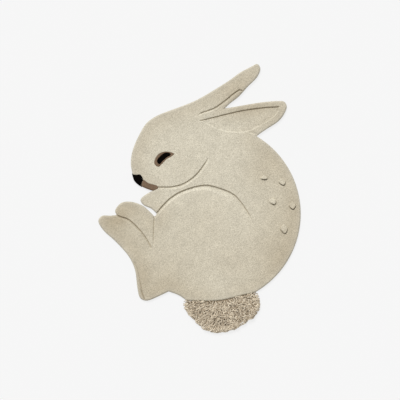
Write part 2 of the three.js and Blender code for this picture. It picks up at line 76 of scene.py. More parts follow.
PUFF_FREE_SIDE = np.array((0.1, -0.995))  # the side on which every puff is cut free
PUFF_FREE_FROM, PUFF_FREE_SPAN = 0.3, 0.5
PUFF_CLEARED, PUFF_CLEAR_WIDTH, PUFF_CLEAR_REACH = 0.0065, 0.0055, 0.006
shorn = np.random.default_rng(11)

# Painted shade: where the pile's colour is darkened as if it leaned from the light, or lightened where the
# amount is negative: middle, reach in metres, how much.
PAINTED_SHADE_PATCHES = [
    ("far ear", 0.18, 0.44, 0.10, 0.14),
    ("tips of both ears", 0.30, 0.44, 0.12, 0.06),
    ("root of the near ear", 0.13, 0.37, 0.07, -0.06),
    ("behind the near ear", 0.26, 0.30, 0.05, -0.06),
    ("shoulder", 0.28, 0.13, 0.09, 0.15),
    ("back", 0.38, -0.06, 0.12, 0.13),
    ("loin", 0.33, -0.24, 0.11, 0.16),
    ("under the loin", 0.15, -0.29, 0.08, 0.06),
    ("over the tail", 0.10, -0.43, 0.07, -0.07),
    ("thigh", -0.16, -0.34, 0.13, 0.10),
    ("heel", -0.24, -0.42, 0.08, 0.06),
    ("shin", -0.27, -0.33, 0.06, 0.06),
    ("far foot", -0.27, -0.17, 0.08, 0.10),
    ("top of the far foot", -0.31, -0.04, 0.05, 0.08),
    ("near foot", -0.38, -0.09, 0.07, 0.21),
    ("chest", -0.19, 0.03, 0.08, -0.07),
    ("belly", 0.02, -0.26, 0.26, 0.06),
    ("haunch", 0.02, -0.10, 0.10, 0.035),
    ("cheek", -0.07, 0.14, 0.07, 0.03),
]
# painted shade that darkens the pile towards its rim, and over what reach
RIM_PAINTED_SHADE, RIM_PAINTED_SHADE_REACH = 0.16, 0.065
EVEN_PAINTED_SHADE = 0.12  # painted shade over the whole pile
LOWER_PAINTED_SHADE = 0.4  # painted shade below the rim and in the pockets
SLOPE_PAINTED_LIGHT, SLOPE_PAINTED_LIGHT_LIMIT = 0.17, 0.5  # painted light: the pile is painted lighter on a slope that faces the light
LIGHT_FROM = np.array((-0.37, 0.93))
RIM_WIDTH = 0.007  # a slope this near the edge is the rounded rim's, and not that of a carved line
RIM_PAINTED_LIGHT_REACH = 0.011  # painted cool light: the pile is painted greyer towards the rim, over this reach
# Painted shade: down the steep wall of a carved line the pile is painted darker, at what depth and steepness
# that starts, and over how much more it is full.
GROOVE_SHADE_DEPTH, GROOVE_SHADE_DEPTH_SPAN = 0.002, 0.0035
GROOVE_SHADE_STEEPNESS, GROOVE_SHADE_STEEPNESS_SPAN = 0.7, 0.9


def welded(name):
    """A CAD node as a welded mesh of triangles."""
    shape = bmesh.new()
    shape.from_mesh(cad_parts[name].data)
    bmesh.ops.remove_doubles(shape, verts=shape.verts, dist=2e-6)
    bmesh.ops.triangulate(shape, faces=shape.faces)
    return shape


def underside_lines(name):
    """The closed lines round a CAD node's flat underside as arrays of x and y, the longest first."""
    shape = welded(name)
    low = min(v.co.z for v in shape.verts)
    faces = [f for f in shape.faces if max(v.co.z for v in f.verts) < low + 2e-5]
    under = set(faces)
    following = {}
    for face in faces:
        for loop in face.loops:
            if any(other not in under for other in loop.edge.link_faces):
                following[loop.link_loop_next.vert] = loop.vert
    lines = []
    while following:
        start = next(iter(following))
        line, vert = [], start
        while vert in following:
            line.append(vert.co.xy[:])
            vert = following.pop(vert)
        lines.append(np.array(line))
    shape.free()
    return sorted(lines, key=lambda line: -np.abs(np.diff(line, axis=0)).sum())


def drawn_smooth(line, step, sharp=math.radians(34)):
    """The closed line drawn again as a smooth one in even steps, which keeps its sharp corners."""
    ahead = np.roll(line, -1, axis=0) - line
    length = np.linalg.norm(ahead, axis=1)
    keep = length > 1e-4
    line = line[keep]
    ahead = np.roll(line, -1, axis=0) - line
    length = np.linalg.norm(ahead, axis=1)
    way = ahead / length[:, None]
    behind = np.roll(way, 1, axis=0)
    turn = np.abs(np.arctan2(behind[:, 0] * way[:, 1] - behind[:, 1] * way[:, 0], (behind * way).sum(1)))
    weight = np.roll(length, 1) / (length + np.roll(length, 1))
    mean = behind * (1 - weight)[:, None] + way * weight[:, None]
    mean /= np.linalg.norm(mean, axis=1)[:, None]
    leaving = np.where((turn > sharp)[:, None], way, mean)
    arriving = np.where((turn > sharp)[:, None], behind, mean)
    drawn = []
    for i in range(len(line)):
        j = (i + 1) % len(line)
        count = max(1, round(length[i] / step))
        t = (np.arange(count) / count)[:, None]
        drawn.append(
            line[i] * (2 * t**3 - 3 * t**2 + 1)
            + leaving[i] * length[i] * (t**3 - 2 * t**2 + t)
            + line[j] * (3 * t**2 - 2 * t**3)
            + arriving[j] * length[i] * (t**3 - t**2)
        )
    return np.concatenate(drawn)


def drawn_in(line, by):
    """The closed line moved inwards by that much, or outwards where it is negative."""
    way = np.roll(line, -1, axis=0) - line
    way /= np.linalg.norm(way, axis=1)[:, None]
    behind = np.roll(way, 1, axis=0)
    left = np.stack([-way[:, 1] - behind[:, 1], way[:, 0] + behind[:, 0]], 1)
    left /= np.linalg.norm(left, axis=1)[:, None]
    square = np.clip(left[:, 0] * -way[:, 1] + left[:, 1] * way[:, 0], 0.5, 1)
    return line + left * (by / square)[:, None]


def within(points, line):
    """Which of the points lie inside the closed line."""
    inside = np.zeros(len(points), bool)
    for (ax, ay), (bx, by) in zip(line, np.roll(line, -1, axis=0)):
        if ay != by:
            crosses = (points[:, 1] < ay) != (points[:, 1] < by)
            inside ^= crosses & (points[:, 0] < (bx - ax) * (points[:, 1] - ay) / (by - ay) + ax)
    return inside


def away_from(points, line):
    """How far each point is from the closed line."""
    nearest = np.full(len(points), 1e9)
    for a, b in zip(line, np.roll(line, -1, axis=0)):
        along = b - a
        t = np.clip(((points - a) @ along) / (along @ along), 0, 1)
        nearest = np.minimum(nearest, ((points - a - t[:, None] * along) ** 2).sum(1))
    return np.sqrt(nearest)


rug_low, rug_high = (np.array(corner[:2]) for corner in packed_box)
grid_start = rug_low - GRID_MARGIN
grid_size = np.ceil((rug_high - rug_low + 2 * GRID_MARGIN) / LEVEL_GRID).astype(int)


def levels(names):
    """A fine grid of how high the tops of these CAD nodes stand."""
    level = np.zeros(grid_size[::-1])
    for name in names:
        shape = welded(name)
        for face in shape.faces:
            if face.normal.z < 0.02:  # a wall, or the underside
                continue
            corners = np.array([v.co[:] for v in face.verts])
            a, b, c = corners
            low = np.maximum(np.ceil((corners.min(0)[:2] - grid_start) / LEVEL_GRID).astype(int), 0)
            high = np.floor((corners.max(0)[:2] - grid_start) / LEVEL_GRID).astype(int) + 1
            x, y = np.meshgrid(*(grid_start[k] + np.arange(low[k], high[k]) * LEVEL_GRID for k in (0, 1)))
            if not x.size:
                continue
            area = (b[0] - a[0]) * (c[1] - a[1]) - (c[0] - a[0]) * (b[1] - a[1])
            u = ((x - a[0]) * (c[1] - a[1]) - (c[0] - a[0]) * (y - a[1])) / area
            v = ((b[0] - a[0]) * (y - a[1]) - (x - a[0]) * (b[1] - a[1])) / area
            on = (u >= -1e-6) & (v >= -1e-6) & (u + v <= 1 + 1e-6)
            part = level[low[1]:high[1], low[0]:high[0]]
            part[on] = np.maximum(part[on], (a[2] + u * (b[2] - a[2]) + v * (c[2] - a[2]))[on])
        shape.free()
    return level


def eased(level, least=0.0045):
    """The grid of levels with the narrow gaps between yarns closed and its steps softened."""
    full = np.where(level > least, level, 0)
    spread = full.copy()
    for axis in (0, 1):
        for shift in (-1, 1):
            spread = np.maximum(spread, np.roll(full, shift, axis))
    full = np.where(full > 0, full, spread)
    sure = (full > 0).astype(float)
    total = full.copy()
    for axis in (0, 1):
        total = total + np.roll(total, 1, axis) + np.roll(total, -1, axis)
        sure = sure + np.roll(sure, 1, axis) + np.roll(sure, -1, axis)
    return np.where(sure > 0, total / np.maximum(sure, 1e-9), 0)


def level_at(level, points):
    """The grid's level under each point, the highest of the cells round it where one is empty."""
    place = (points - grid_start) / LEVEL_GRID
    i, j = np.floor(place[:, 1]).astype(int), np.floor(place[:, 0]).astype(int)
    fy, fx = place[:, 1] - i, place[:, 0] - j
    corners = np.stack([level[i, j], level[i, j + 1], level[i + 1, j], level[i + 1, j + 1]])
    share = np.stack([(1 - fy) * (1 - fx), (1 - fy) * fx, fy * (1 - fx), fy * fx])
    share = share * (corners > 0) + 1e-12
    return (corners * share).sum(0) / share.sum(0)


def tuft_grid(line, pitch, holes=()):
    """Points in staggered rows inside the line and outside the holes, each a little out of place."""
    low, high = line.min(0), line.max(0)
    rows = []
    for k, y in enumerate(np.arange(low[1], high[1], pitch * math.sqrt(3) / 2)):
        x = np.arange(low[0] + pitch / 2 * (k % 2), high[0], pitch)
        rows.append(np.column_stack([x, np.full(len(x), y)]))
    points = np.concatenate(rows)
    points += shorn.uniform(-TUFT_DRIFT, TUFT_DRIFT, points.shape) * pitch
    points = points[within(points, line)]
    for hole in holes:
        points = points[~within(points, hole)]
    return points


def woven(lines, points):
    """A net of triangles over the closed lines and the points: its corners, and its triangles."""
    edges, corners = [], []
    for line in lines:
        first, count = len(corners), len(line)
        edges += [(first + k, first + (k + 1) % count) for k in range(count)]
        corners += list(line)
    together = [Vector(p) for p in corners] + [Vector(p) for p in points]
    placed, _, faces, *_ = delaunay_2d_cdt(together, edges, [], 0, 1e-5)
    placed = np.array([p[:] for p in placed])
    faces = np.array([f for f in faces if len(f) == 3])
    a, b, c = (placed[faces[:, k]] for k in range(3))
    turned = (b[:, 0] - a[:, 0]) * (c[:, 1] - a[:, 1]) - (b[:, 1] - a[:, 1]) * (c[:, 0] - a[:, 0]) < 0
    faces[turned] = faces[turned][:, ::-1]
    return placed, faces


def border(faces):
    """The edges that have a triangle on one side only, in the direction of that triangle."""
    seen = {}
    for a, b, c in faces.tolist():
        for edge in ((a, b), (b, c), (c, a)):
            seen[edge] = True
    return [(a, b) for a, b in seen if (b, a) not in seen]


def ring(edges):
    """Border edges in the order in which they follow one another, as lists of corners."""
    following = dict(edges)
    rings = []
    while following:
        start = next(iter(following))
        line, at = [], start
        while at in following:
            line.append(at)
            at = following.pop(at)
        rings.append(line)
    return sorted(rings, key=len, reverse=True)


def made(name, points, faces, materials):
    """An object of these points and faces, linked to the scene and riding on the rug's one body."""
    mesh = bpy.data.meshes.new(name)
    mesh.from_pydata([tuple(p) for p in points], [], [tuple(f) for f in faces])
    mesh.validate()
    mesh.shade_smooth()
    for material in materials:
        mesh.materials.append(material)
    thing = bpy.data.objects.new(name, mesh)
    bpy.context.scene.collection.objects.link(thing)
    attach(thing, "root")
    return thing


def marked(thing, name, values):
    """Keeps one number for each corner of the mesh, for its material to read."""
    kept = thing.data.attributes.new(name, "FLOAT", "POINT")
    kept.data.foreach_set("value", np.asarray(values, np.float32))


def backed_from(thing, first):
    """Gives the faces from this one on the backing's cloth, which is the second material."""
    kind = np.zeros(len(thing.data.polygons), int)
    kind[first:] = 1
    thing.data.polygons.foreach_set("material_index", kind)


def clip_round(level, line):
    """Lowers the pile along the free lower edge of a puff, where the shears have cut it clear."""
    low = ((line.min(0) - grid_start - PUFF_CLEAR_REACH) / LEVEL_GRID).astype(int)
    high = ((line.max(0) - grid_start + PUFF_CLEAR_REACH) / LEVEL_GRID).astype(int)
    rows, columns = np.mgrid[low[1]:high[1], low[0]:high[0]]
    cells = np.column_stack([columns.ravel(), rows.ravel()]) * LEVEL_GRID + grid_start
    way = cells - line.mean(0)
    way /= np.linalg.norm(way, axis=1)[:, None]
    free = np.clip((way @ PUFF_FREE_SIDE - PUFF_FREE_FROM) / PUFF_FREE_SPAN, 0, 1)
    cut = PUFF_CLEARED * free * np.clip(1 - away_from(cells, line) / PUFF_CLEAR_WIDTH, 0, 1)
    level[low[1]:high[1], low[0]:high[0]] -= cut.reshape(rows.shape)


backing_inside = RIM_TUCK[1][0]
backing_line = drawn_smooth(underside_lines("rabbit_pile")[0], RIM_LINE_STEP)
rabbit_line = drawn_in(backing_line, -backing_inside)
rabbit_line = rabbit_line[away_from(rabbit_line, backing_line) > RIM_LINE_KEPT * backing_inside]
pocket_lines = []
for name in ("nose_pile", "muzzle_pile", "eye_rim_pile"):
    pocket = drawn_smooth(underside_lines(name)[0], POCKET_LINE_STEP)
    if name == "eye_rim_pile":
        pocket = drawn_in(pocket, EYE_CLOSED)
    at_rim = away_from(pocket, rabbit_line) < RIM_REACH
    pocket[at_rim] = drawn_in(pocket, -POCKET_PAST_RIM)[at_rim]
    pocket_lines.append(pocket)

PUFF_NODES = [f"back_puff_{number}" for number in range(1, 6)]
INLAY_NODES = ["nose_pile", "muzzle_pile", "eye_rim_pile", "eye_pupil_pile"]
rug_level = np.minimum(eased(levels(["rabbit_pile", *INLAY_NODES, *PUFF_NODES])), PILE_TOP)
for name in PUFF_NODES:
    clip_round(rug_level, underside_lines(name)[0])
slope = np.hypot(*np.gradient(rug_level, LEVEL_GRID))
tufts = tuft_grid(rabbit_line, TUFT_PITCH)
fine_tufts = tuft_grid(rabbit_line, CARVED_PITCH)


def cell_at(places):
    """The row and the column of the grid's cell at each place."""
    column, row = np.round((places - grid_start) / LEVEL_GRID).astype(int).T
    return row, column


def near_carving(places):
    """Which places lie beside a carved line or on the rounded rim."""
    steep = np.zeros(len(places), bool)
    for dx in (-CARVED_REACH, 0, CARVED_REACH):
        for dy in (-CARVED_REACH, 0, CARVED_REACH):
            steep |= slope[cell_at(places + (dx, dy))] > CARVED_SLOPE
    return steep


tufts = tufts[~near_carving(tufts)]
fine_tufts = fine_tufts[near_carving(fine_tufts)]
fine_tufts = fine_tufts[away_from(fine_tufts, rabbit_line) > RIM_CLEAR]
tufts = np.concatenate([tufts, fine_tufts])
for pocket in pocket_lines:
    near = np.abs(tufts - pocket.mean(0)).max(1) < np.ptp(pocket, axis=0).max()
    keep = np.ones(len(tufts), bool)
    keep[near] = away_from(tufts[near], pocket) > POCKET_CLEAR
    tufts = tufts[keep]
placed, faces = woven([rabbit_line, *pocket_lines], tufts)
middle = placed[faces].mean(1)
by_line = (faces < len(rabbit_line) + sum(map(len, pocket_lines))).any(1)
inside = np.ones(len(faces), bool)
inside[by_line] = within(middle[by_line], rabbit_line)
faces, middle = faces[inside], middle[inside]
pocket_floor = np.any([within(middle, pocket) for pocket in pocket_lines], axis=0)
pile_faces, floor_faces = faces[~pocket_floor], faces[pocket_floor]

rim = ring(border(faces))[0]
on_rim = np.zeros(len(placed), bool)
on_rim[rim] = True
rim_gap = away_from(placed, rabbit_line)
height = level_at(rug_level, placed)
rim_line = placed[rim]
height[rim] = np.minimum(level_at(rug_level, drawn_in(rim_line, RIM_LEVEL_FROM)), RIM_HEIGHT)
height += np.where(on_rim, 0, shorn.uniform(*PILE_UNEVEN, len(placed)))

# The corners: the pile's top, the two rows that the rim tucks in to, and the floors of the pockets.
count = len(placed)
points = [np.column_stack([placed, height])]
tuck_rows = []
for inward, low in RIM_TUCK:
    tuck_rows.append(dict(zip(rim, range(count, count + len(rim)))))
    points.append(np.column_stack([drawn_in(rim_line, inward), np.full(len(rim), low)]))
    count += len(rim)
floor_corners = sorted({c for face in floor_faces.tolist() for c in face} - set(rim))
floor_of = dict(zip(floor_corners, range(count, count + len(floor_corners))))
points.append(np.column_stack([placed[floor_corners], np.full(len(floor_corners), BACKING)]))
floor_of.update({c: tuck_rows[0][c] for c in rim})
points = np.concatenate(points)

pile_border = border(pile_faces)
rim_edges = set(zip(rim, rim[1:] + rim[:1]))
sides = []
for a, b in pile_border:
    if (a, b) in rim_edges:
        sides += [(b, a, tuck_rows[0][a]), (b, tuck_rows[0][a], tuck_rows[0][b])]
    else:
        sides += [(b, a, floor_of[a]), (b, floor_of[a], floor_of[b])]
for a, b in rim_edges:
    upper, lower = tuck_rows
    sides += [(upper[b], upper[a], lower[a]), (upper[b], lower[a], lower[b])]
floors = [tuple(floor_of[c] for c in face) for face in floor_faces.tolist()]
under_line = drawn_in(rim_line, backing_inside)
under_placed, under_faces = woven([under_line], np.zeros((0, 2)))
under_faces = under_faces[within(under_placed[under_faces].mean(1), under_line)]
lowest = [tuck_rows[1][c] for c in rim]
underside = [(lowest[c], lowest[b], lowest[a]) for a, b, c in under_faces.tolist()]
all_faces = [tuple(f) for f in pile_faces.tolist()] + sides + floors + underside


def given(tree, socket, value):
    """Links the socket to another one, or sets it to a plain value."""
    if isinstance(value, bpy.types.NodeSocket):
        tree.links.new(value, socket)
    else:
        socket.default_value = value


def placed_node(tree, kind, inputs=(), **settings):
    """A shader node with these settings, its named inputs linked to a socket or given a value."""
    new = tree.nodes.new(kind)
    for key, value in settings.items():
        setattr(new, key, value)
    for key, value in dict(inputs).items():
        given(tree, new.inputs[key], value)
    return new


def group_of(name, takes, gives):
    """An empty node group with named inputs and outputs, its tree, and its two end nodes."""
    tree = bpy.data.node_groups.new(name, "ShaderNodeTree")
    for label, kind, value in takes:
        socket = tree.interface.new_socket(label, in_out="INPUT", socket_type=kind)
        if value is not None:
            socket.default_value = value
    for label, kind in gives:
        tree.interface.new_socket(label, in_out="OUTPUT", socket_type=kind)
    return tree, tree.nodes.new("NodeGroupInput").outputs, tree.nodes.new("NodeGroupOutput").inputs


def used(tree, group, inputs):
    """The outputs of a node group that is placed in a material with its own values."""
    return placed_node(tree, "ShaderNodeGroup", inputs, node_tree=group).outputs


def flecked(tree, place, scale, detail=2.0, roughness=0.5):
    """Soft noise over the surface, in flecks of this many per metre."""
    spots = {"Vector": place, "Scale": scale, "Detail": detail, "Roughness": roughness}
    return placed_node(tree, "ShaderNodeTexNoise", spots)


def worked(tree, how, *values):
    """The result of one sum on values or sockets."""
    new = placed_node(tree, "ShaderNodeMath", operation=how)
    for socket, value in zip(new.inputs, values):
        given(tree, socket, value)
    return new.outputs[0]


def shifted(tree, how, inputs):
    """The result of one sum on places."""
    return placed_node(tree, "ShaderNodeVectorMath", inputs, operation=how).outputs[0]


def blended(tree, how, share, one, other):
    """Two colours mixed by a share from 0 to 1."""
    shares = {0: share, 6: one, 7: other}
    return placed_node(tree, "ShaderNodeMix", shares, data_type="RGBA", blend_type=how).outputs[2]


def toned(tree, yarn, value, low, high, least, most):
    """The yarn's colour made darker or lighter, from least at the value's low to most at its high."""
    spread = {"Value": value, "From Min": low, "From Max": high, "To Min": least, "To Max": most}
    return blended(tree, "MULTIPLY", 1.0, yarn, placed_node(tree, "ShaderNodeMapRange", spread).outputs[0])


def raised(tree, shader, height, strength, distance):
    """Lets this height show as relief in the surface."""
    bump = placed_node(tree, "ShaderNodeBump", {"Height": height, "Strength": strength, "Distance": distance})
    tree.links.new(bump.outputs[0], shader.inputs["Normal"])


def fabric(name, roughness, sheen, sheen_tint):
    """A material with a matt fibre surface, and its tree and shader."""
    material = bpy.data.materials.new(name)
    material.use_nodes = True
    tree = material.node_tree
    shader = tree.nodes["Principled BSDF"]
    shader.inputs["Roughness"].default_value = roughness
    shader.inputs["Sheen Weight"].default_value = sheen
    shader.inputs["Sheen Roughness"].default_value = 0.55
    shader.inputs["Sheen Tint"].default_value = sheen_tint
    shader.inputs["Specular IOR Level"].default_value = 0.15
    return material, tree, shader


# Shorn tufts: each tuft has its own shade and a round crown, with loose fibre over all of them.
shorn_tufts, takes, gives = group_of(
    "shorn tufts",
    [("Place", "NodeSocketVector", None), ("Tufts per metre", "NodeSocketFloat", 300.0)],
    [(label, "NodeSocketFloat") for label in ("Shade", "Crown", "Fibre", "Fleck", "Cloudy")],
)
wander = flecked(shorn_tufts, takes["Place"], 160.0, detail=1.0)
drift = shifted(shorn_tufts, "SUBTRACT", {0: wander.outputs["Color"], 1: (0.5, 0.5, 0.5)})
small = shifted(shorn_tufts, "SCALE", {0: drift, "Scale": 0.004})
moved = shifted(shorn_tufts, "ADD", {0: takes["Place"], 1: small})
cells = placed_node(
    shorn_tufts, "ShaderNodeTexVoronoi",
    {"Vector": moved, "Scale": takes["Tufts per metre"], "Randomness": 0.85},
    voronoi_dimensions="2D",
)
apart = placed_node(shorn_tufts, "ShaderNodeSeparateColor", {"Color": cells.outputs["Color"]})
crown = worked(shorn_tufts, "SUBTRACT", 1.0, worked(shorn_tufts, "POWER", cells.outputs["Distance"], 1.6))
fibre = flecked(shorn_tufts, takes["Place"], 1300.0, detail=4.0, roughness=0.7)
fleck = flecked(shorn_tufts, takes["Place"], 210.0, detail=3.0, roughness=0.8)
cloudy = flecked(shorn_tufts, takes["Place"], 26.0, detail=3.0, roughness=0.6)
for label, value in (
    ("Shade", apart.outputs[0]), ("Crown", crown), ("Fibre", fibre.outputs["Fac"]),
    ("Fleck", fleck.outputs["Fac"]), ("Cloudy", cloudy.outputs["Fac"]),
):
    shorn_tufts.links.new(value, gives[label])


PAINTED_SHADE_COLOUR = (0.30, 0.17, 0.0, 1)  # painted shade: what the yarn is multiplied by where that shade is full
# painted cool light mixed into the pile at its rim, and its share
RIM_PAINTED_COOL_LIGHT, RIM_PAINTED_LIGHT_SHARE = (0.60, 0.59, 0.53, 1), 0.3
# painted shade down the walls of carved lines
GROOVE_SHADE_COLOUR = (0.56, 0.50, 0.42, 1)


def shorn_wool(name, light, dark, painted_gap_shade, tufts_per_metre, sheen=0.25, gloss=0.15, paints_shade=False):
    """Cut pile in two shades of yarn, with clouds, flecks and painted shade in the gaps between the tufts.
    Asked to, it also reads painted shade and light from the mesh's marks.
    """
    material, tree, shader = fabric(name, 0.92, sheen, (*light, 1))
    shader.inputs["Specular IOR Level"].default_value = gloss
    place = placed_node(tree, "ShaderNodeTexCoord").outputs["Object"]
    tuft = used(tree, shorn_tufts, {"Place": place, "Tufts per metre": tufts_per_metre})
    dyed, spun_in = worked(tree, "MULTIPLY", tuft["Shade"], 0.6), worked(tree, "MULTIPLY", tuft["Fibre"], 0.4)
    yarn = blended(tree, "MIX", worked(tree, "ADD", dyed, spun_in), (*dark, 1), (*light, 1))
    yarn = toned(tree, yarn, tuft["Cloudy"], 0.3, 0.7, 0.935, 1.06)
    yarn = toned(tree, yarn, tuft["Fleck"], 0.34, 0.6, 0.8, 1.05)
    # painted shade in the gaps between the tufts
    yarn = toned(tree, yarn, tuft["Crown"], 0.45, 0.8, painted_gap_shade, 1.0)
    if paints_shade:
        painted_shade, rim, deep = (
            placed_node(tree, "ShaderNodeAttribute", attribute_name=mark).outputs["Fac"]
            for mark in ("painted_shade", "rim", "deep")
        )
        # painted shade, darker where the pile was said to lean from the light
        yarn = blended(tree, "MULTIPLY", painted_shade, yarn, PAINTED_SHADE_COLOUR)
        # painted cool light, greying the pile at its rim
        yarn = blended(tree, "MIX", worked(tree, "MULTIPLY", rim, RIM_PAINTED_LIGHT_SHARE), yarn, RIM_PAINTED_COOL_LIGHT)
        # painted shade in the carved lines
        yarn = blended(tree, "MULTIPLY", deep, yarn, GROOVE_SHADE_COLOUR)
    tree.links.new(yarn, shader.inputs["Base Color"])
    relief = worked(tree, "ADD", tuft["Crown"], worked(tree, "MULTIPLY", tuft["Fibre"], 1.1))
    raised(tree, shader, relief, 0.55, 0.0011)
    return material


cream_pile = shorn_wool(
    "cream cut wool", (0.895, 0.844, 0.705), (0.666, 0.622, 0.50), 0.84, 270.0, paints_shade=True
)

# The backing: unbleached cotton canvas in a plain weave, stiff with dried glue.
canvas, tree, shader = fabric("cotton backing canvas", 0.85, 0.1, (0.8, 0.76, 0.66, 1))
place = placed_node(tree, "ShaderNodeTexCoord").outputs["Object"]
threads = []
for direction in ("X", "Y"):
    wave = placed_node(
        tree, "ShaderNodeTexWave",
        {"Vector": place, "Scale": 150.0, "Distortion": 0.6, "Detail": 2.0, "Detail Scale": 1.2},
        bands_direction=direction,
    )
    threads.append(wave.outputs["Fac"])
weave = worked(tree, "MAXIMUM", *threads)
glue = worked(tree, "MULTIPLY", flecked(tree, place, 34.0, detail=4.0).outputs["Fac"], 0.35)
cloth = blended(tree, "MIX", weave, (0.35, 0.31, 0.23, 1), (0.62, 0.575, 0.47, 1))
cloth = blended(tree, "MULTIPLY", glue, cloth, (0.8, 0.74, 0.6, 1))
tree.links.new(cloth, shader.inputs["Base Color"])
raised(tree, shader, weave, 0.5, 0.0008)

rabbit = made("rabbit_cut_pile", points, all_faces, [cream_pile, canvas])
backed_from(rabbit, len(pile_faces) + len(sides))


def painted_shade_at(places, rim_gap):
    """How much painted shade darkens the pile at each place."""
    painted_shade = EVEN_PAINTED_SHADE + RIM_PAINTED_SHADE * np.exp(-(rim_gap / RIM_PAINTED_SHADE_REACH) ** 2)
    for _, x, y, reach, most in PAINTED_SHADE_PATCHES:
        painted_shade += most * np.exp(-((places - (x, y)) ** 2).sum(1) / reach**2)
    return painted_shade


lower_corners = len(points) - len(placed)
fall_y, fall_x = (-step for step in np.gradient(rug_level, LEVEL_GRID))
cells_at = cell_at(placed)
facing = fall_x[cells_at] * LIGHT_FROM[0] + fall_y[cells_at] * LIGHT_FROM[1]
# painted light: slopes that face the light are painted lighter, away from the rim
slope_light = SLOPE_PAINTED_LIGHT * np.clip(facing, 0, SLOPE_PAINTED_LIGHT_LIMIT) * (rim_gap > RIM_WIDTH)
painted_shade = painted_shade_at(placed, rim_gap) - slope_light
# painted shade, less the painted light on slopes, with more below the rim and in the pockets
marked(rabbit, "painted_shade", np.concatenate([painted_shade, np.full(lower_corners, LOWER_PAINTED_SHADE)]))
# painted cool light, fullest at the rim and on the lower corners
marked(rabbit, "rim", np.concatenate([np.exp(-rim_gap / RIM_PAINTED_LIGHT_REACH), np.ones(lower_corners)]))
# painted shade where a carved line's wall is both deep and steep
steepest = slope
for axis in (0, 1):
    steepest = np.max([np.roll(steepest, shift, axis) for shift in (-2, -1, 0, 1, 2)], axis=0)
at_wall = np.clip((level_at(steepest, placed) - GROOVE_SHADE_STEEPNESS) / GROOVE_SHADE_STEEPNESS_SPAN, 0, 1)
at_depth = np.clip((PILE_TOP - height - GROOVE_SHADE_DEPTH) / GROOVE_SHADE_DEPTH_SPAN, 0, 1)
painted_groove_share = at_depth * at_wall * (rim_gap > RIM_WIDTH)
marked(rabbit, "deep", np.concatenate([painted_groove_share, np.zeros(lower_corners)]))

# The colour map, per metre. The top and the rim lie flat in it, the rim's two lower rows just outside
# the top, and the underside and the pockets' floors go beside them, smaller.
MAP_SCALE, MAP_MIDDLE = 0.8, (0.363, 0.5)
TUCK_ON_MAP = (0.004, 0.007)
UNDER_SCALE, UNDER_START, FLOOR_START = 0.26, (0.735, 0.02), (0.735, 0.42)
HALF_RUG = 0.6 * np.array((0.75, 1))
tuck_on_map = [drawn_in(rim_line, -outward) for outward in TUCK_ON_MAP]
flat_map = np.concatenate([placed, *tuck_on_map, placed[floor_corners]]) * MAP_SCALE + MAP_MIDDLE
layer = rabbit.data.uv_layers.new(name="OFBake")
corner_of = np.empty(len(rabbit.data.loops), int)
rabbit.data.loops.foreach_get("vertex_index", corner_of)
spread_map = flat_map[corner_of]
starts = np.empty(len(rabbit.data.polygons), int)
rabbit.data.polygons.foreach_get("loop_start", starts)
under_loops = np.arange(starts[len(all_faces) - len(underside)], len(corner_of))
floor_loops = np.arange(starts[len(pile_faces) + len(sides)], under_loops[0])
for loops, map_start in ((under_loops, UNDER_START), (floor_loops, FLOOR_START)):
    spread_map[loops] = (points[corner_of[loops], :2] + HALF_RUG) * UNDER_SCALE + map_start
layer.data.foreach_set("uv", spread_map.astype(np.float32).ravel())

# Pocket corners that reach past the rim belong to no face, and go.
shape = bmesh.new()
shape.from_mesh(rabbit.data)
bmesh.ops.delete(shape, geom=[v for v in shape.verts if not v.link_faces], context="VERTS")
shape.to_mesh(rabbit.data)
shape.free()
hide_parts("rabbit_pile")

# The nose, the strip under the muzzle and the eye
# The same short pile in black and taupe yarn, shot into the same backing inside the cream pile. Each
# is shorn level with the pile round it, and its edge is clipped a little with the carving shears.
INLAY_PITCH, INLAY_UNEVEN, INLAY_CLIPPED = 0.0021, 0.0003, 0.0013
EDGE_CLEAR = 0.45  # no tuft stands nearer the edge of its yarn than this share of the pitch
BLACK_SPREAD = 0.0013  # the black tufts of the eye lie over the taupe ones
NOSE_FLARE, MUZZLE_FLARE = 0.0034, 0.0014  # how far the tufts at the rug's edge lean out over it


def closed_below(placed, faces, edges, height, low):
    """A net of tufts closed by walls and an underside: its corners, its top and walls, its underside."""
    count = len(placed)
    corners = [np.column_stack([placed, height]), np.column_stack([placed, np.full(count, low)])]
    walls = [half for a, b in edges for half in ((b, a, a + count), (b, a + count, b + count))]
    underside = [(c + count, b + count, a + count) for a, b, c in faces.tolist()]
    return np.concatenate(corners), faces.tolist() + walls, underside


def tufted(
    name, node, material, level=rug_level, pitch=INLAY_PITCH, uneven=INLAY_UNEVEN, clipped=INLAY_CLIPPED,
    flare=0.0, inward=0.0, hole_wider=0.0,
):
    """A closed piece of tufts that fills a CAD node's outline, from its underside up to the level."""
    outline, *holes = (drawn_smooth(line, pitch) for line in underside_lines(node))
    outline = drawn_in(outline, inward)
    holes = [drawn_in(hole, hole_wider) for hole in holes]
    tufts = tuft_grid(outline, pitch, holes)
    for line in (outline, *holes):
        tufts = tufts[away_from(tufts, line) > EDGE_CLEAR * pitch]
    rooted = outline.copy()
    if flare:
        at_rim = away_from(outline, rabbit_line) < RIM_REACH
        outline[at_rim] = drawn_in(outline, -flare)[at_rim]
    placed, faces = woven([outline, *holes], tufts)
    middle = placed[faces].mean(1)
    filled = within(middle, outline)
    for hole in holes:
        filled &= ~within(middle, hole)
    faces = faces[filled]
    edges = border(faces)
    edge = np.zeros(len(placed), bool)
    edge[[a for a, _ in edges]] = True
    height = level_at(level, placed)
    height[:len(rooted)] = level_at(level, rooted)
    height += np.where(edge, -clipped, shorn.uniform(-uneven, uneven, len(placed)))
    low = min(v.co.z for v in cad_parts[node].data.vertices)
    corners, above, below = closed_below(placed, faces, edges, height, low)
    piece = made(name, corners, above + below, [material])
    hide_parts(node)
    return piece


